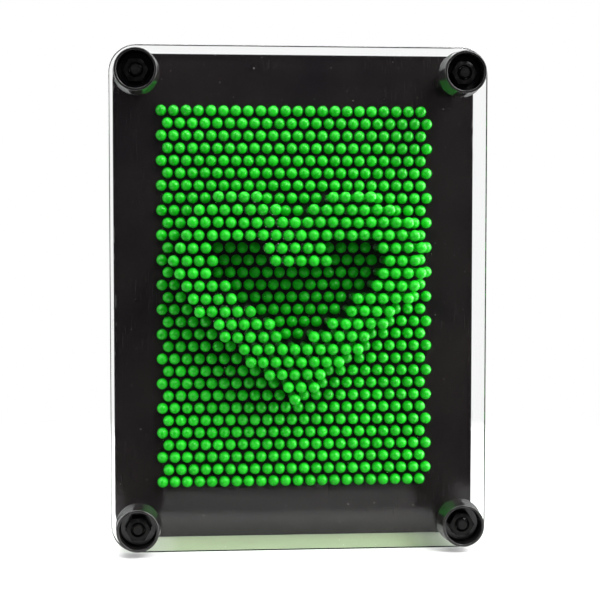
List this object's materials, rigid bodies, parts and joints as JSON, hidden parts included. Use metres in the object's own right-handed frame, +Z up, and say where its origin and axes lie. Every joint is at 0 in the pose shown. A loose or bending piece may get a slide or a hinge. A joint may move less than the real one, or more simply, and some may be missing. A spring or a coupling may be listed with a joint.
{
  "type": "pin art impression toy",
  "caption": "Upright desk toy with a field of sliding green pins in black plates behind a clear cover, for making relief impressions.",
  "frame": {"origin": "on the surface that the toy stands on, in the middle of its outline", "axes": "+Z up along the plates, +X to the right as seen from the front, the clear cover and the pin heads face -Y"},
  "size_m": [0.095, 0.0556, 0.127],
  "materials": {
    "clear_acrylic": "clear cast acrylic with polished faces and edges, a few fine scratches and dust specks",
    "black_acrylic": "glossy black acrylic with fine scratches and dust specks",
    "black_fitting": "glossy black moulded plastic",
    "green_pin": "slightly translucent bright green moulded plastic",
    "blackened_nut": "blackened steel nut",
    "blackened_rod": "blackened threaded steel rod"
  },
  "bodies": {
    "frame": {"clear_cover": "clear_acrylic", "front_pin_plate": "black_acrylic", "rear_pin_plate": "black_acrylic", "knob_bottom_left": "black_fitting", "knob_bottom_right": "black_fitting", "knob_top_left": "black_fitting", "knob_top_right": "black_fitting", "knob_nut_bottom_left": "blackened_nut", "knob_nut_bottom_right": "blackened_nut", "knob_nut_top_left": "blackened_nut", "knob_nut_top_right": "blackened_nut", "cover_spacer_bottom_left": "black_fitting", "cover_spacer_bottom_right": "black_fitting", "cover_spacer_top_left": "black_fitting", "cover_spacer_top_right": "black_fitting", "plate_spacer_bottom_left": "black_fitting", "plate_spacer_bottom_right": "black_fitting", "plate_spacer_top_left": "black_fitting", "plate_spacer_top_right": "black_fitting", "rear_foot_bottom_left": "black_fitting", "rear_foot_bottom_right": "black_fitting", "rear_foot_top_left": "black_fitting", "rear_foot_top_right": "black_fitting", "tie_rod_bottom_left": "blackened_rod", "tie_rod_bottom_right": "blackened_rod", "tie_rod_top_left": "blackened_rod", "tie_rod_top_right": "blackened_rod"},
    "centre_pins_left": {"centre_pins_left": "green_pin"},
    "centre_pins_right": {"centre_pins_right": "green_pin"},
    "corner_pin_bottom_left": {"corner_pin_bottom_left": "green_pin"},
    "corner_pin_bottom_right": {"corner_pin_bottom_right": "green_pin"},
    "corner_pin_top_left": {"corner_pin_top_left": "green_pin"},
    "corner_pin_top_right": {"corner_pin_top_right": "green_pin"},
    "lower_pins_1": {"lower_pins_1": "green_pin"},
    "lower_pins_2": {"lower_pins_2": "green_pin"},
    "lower_pins_3": {"lower_pins_3": "green_pin"},
    "lower_pins_4": {"lower_pins_4": "green_pin"},
    "relief_pins_01": {"relief_pins_01": "green_pin"},
    "relief_pins_02": {"relief_pins_02": "green_pin"},
    "relief_pins_03": {"relief_pins_03": "green_pin"},
    "relief_pins_04": {"relief_pins_04": "green_pin"},
    "relief_pins_05": {"relief_pins_05": "green_pin"},
    "relief_pins_06": {"relief_pins_06": "green_pin"},
    "relief_pins_07": {"relief_pins_07": "green_pin"},
    "relief_pins_08": {"relief_pins_08": "green_pin"},
    "relief_pins_09": {"relief_pins_09": "green_pin"},
    "relief_pins_10": {"relief_pins_10": "green_pin"},
    "side_pins_lower_left": {"side_pins_lower_left": "green_pin"},
    "side_pins_lower_right": {"side_pins_lower_right": "green_pin"},
    "side_pins_upper_left": {"side_pins_upper_left": "green_pin"},
    "side_pins_upper_right": {"side_pins_upper_right": "green_pin"},
    "upper_pins_1": {"upper_pins_1": "green_pin"},
    "upper_pins_2": {"upper_pins_2": "green_pin"},
    "upper_pins_3": {"upper_pins_3": "green_pin"},
    "upper_pins_4": {"upper_pins_4": "green_pin"}
  },
  "joints": [
    {"name": "centre_pins_left_slide", "type": "slide", "parent": "frame", "child": "centre_pins_left", "axis": [0, -1, 0], "range_m": [0, 0.0136]},
    {"name": "centre_pins_right_slide", "type": "slide", "parent": "frame", "child": "centre_pins_right", "axis": [0, -1, 0], "range_m": [0, 0.0136]},
    {"name": "corner_pin_bottom_left_slide", "type": "slide", "parent": "frame", "child": "corner_pin_bottom_left", "axis": [0, -1, 0], "range_m": [0, 0.0136]},
    {"name": "corner_pin_bottom_right_slide", "type": "slide", "parent": "frame", "child": "corner_pin_bottom_right", "axis": [0, -1, 0], "range_m": [0, 0.0136]},
    {"name": "corner_pin_top_left_slide", "type": "slide", "parent": "frame", "child": "corner_pin_top_left", "axis": [0, -1, 0], "range_m": [0, 0.0136]},
    {"name": "corner_pin_top_right_slide", "type": "slide", "parent": "frame", "child": "corner_pin_top_right", "axis": [0, -1, 0], "range_m": [0, 0.0136]},
    {"name": "lower_pins_1_slide", "type": "slide", "parent": "frame", "child": "lower_pins_1", "axis": [0, -1, 0], "range_m": [0, 0.0136]},
    {"name": "lower_pins_2_slide", "type": "slide", "parent": "frame", "child": "lower_pins_2", "axis": [0, -1, 0], "range_m": [0, 0.0136]},
    {"name": "lower_pins_3_slide", "type": "slide", "parent": "frame", "child": "lower_pins_3", "axis": [0, -1, 0], "range_m": [0, 0.0136]},
    {"name": "lower_pins_4_slide", "type": "slide", "parent": "frame", "child": "lower_pins_4", "axis": [0, -1, 0], "range_m": [0, 0.0136]},
    {"name": "relief_pins_01_slide", "type": "slide", "parent": "frame", "child": "relief_pins_01", "axis": [0, -1, 0], "range_m": [-0.0114, 0.0022]},
    {"name": "relief_pins_02_slide", "type": "slide", "parent": "frame", "child": "relief_pins_02", "axis": [0, -1, 0], "range_m": [-0.0114, 0.0022]},
    {"name": "relief_pins_03_slide", "type": "slide", "parent": "frame", "child": "relief_pins_03", "axis": [0, -1, 0], "range_m": [-0.0114, 0.0022]},
    {"name": "relief_pins_04_slide", "type": "slide", "parent": "frame", "child": "relief_pins_04", "axis": [0, -1, 0], "range_m": [-0.0114, 0.0022]},
    {"name": "relief_pins_05_slide", "type": "slide", "parent": "frame", "child": "relief_pins_05", "axis": [0, -1, 0], "range_m": [-0.0114, 0.0022]},
    {"name": "relief_pins_06_slide", "type": "slide", "parent": "frame", "child": "relief_pins_06", "axis": [0, -1, 0], "range_m": [-0.0114, 0.0022]},
    {"name": "relief_pins_07_slide", "type": "slide", "parent": "frame", "child": "relief_pins_07", "axis": [0, -1, 0], "range_m": [-0.0114, 0.0022]},
    {"name": "relief_pins_08_slide", "type": "slide", "parent": "frame", "child": "relief_pins_08", "axis": [0, -1, 0], "range_m": [-0.0114, 0.0022]},
    {"name": "relief_pins_09_slide", "type": "slide", "parent": "frame", "child": "relief_pins_09", "axis": [0, -1, 0], "range_m": [-0.0114, 0.0022]},
    {"name": "relief_pins_10_slide", "type": "slide", "parent": "frame", "child": "relief_pins_10", "axis": [0, -1, 0], "range_m": [-0.0114, 0.0022]},
    {"name": "side_pins_lower_left_slide", "type": "slide", "parent": "frame", "child": "side_pins_lower_left", "axis": [0, -1, 0], "range_m": [0, 0.0136]},
    {"name": "side_pins_lower_right_slide", "type": "slide", "parent": "frame", "child": "side_pins_lower_right", "axis": [0, -1, 0], "range_m": [0, 0.0136]},
    {"name": "side_pins_upper_left_slide", "type": "slide", "parent": "frame", "child": "side_pins_upper_left", "axis": [0, -1, 0], "range_m": [0, 0.0136]},
    {"name": "side_pins_upper_right_slide", "type": "slide", "parent": "frame", "child": "side_pins_upper_right", "axis": [0, -1, 0], "range_m": [0, 0.0136]},
    {"name": "upper_pins_1_slide", "type": "slide", "parent": "frame", "child": "upper_pins_1", "axis": [0, -1, 0], "range_m": [0, 0.0136]},
    {"name": "upper_pins_2_slide", "type": "slide", "parent": "frame", "child": "upper_pins_2", "axis": [0, -1, 0], "range_m": [0, 0.0136]},
    {"name": "upper_pins_3_slide", "type": "slide", "parent": "frame", "child": "upper_pins_3", "axis": [0, -1, 0], "range_m": [0, 0.0136]},
    {"name": "upper_pins_4_slide", "type": "slide", "parent": "frame", "child": "upper_pins_4", "axis": [0, -1, 0], "range_m": [0, 0.0136]}
  ]
}
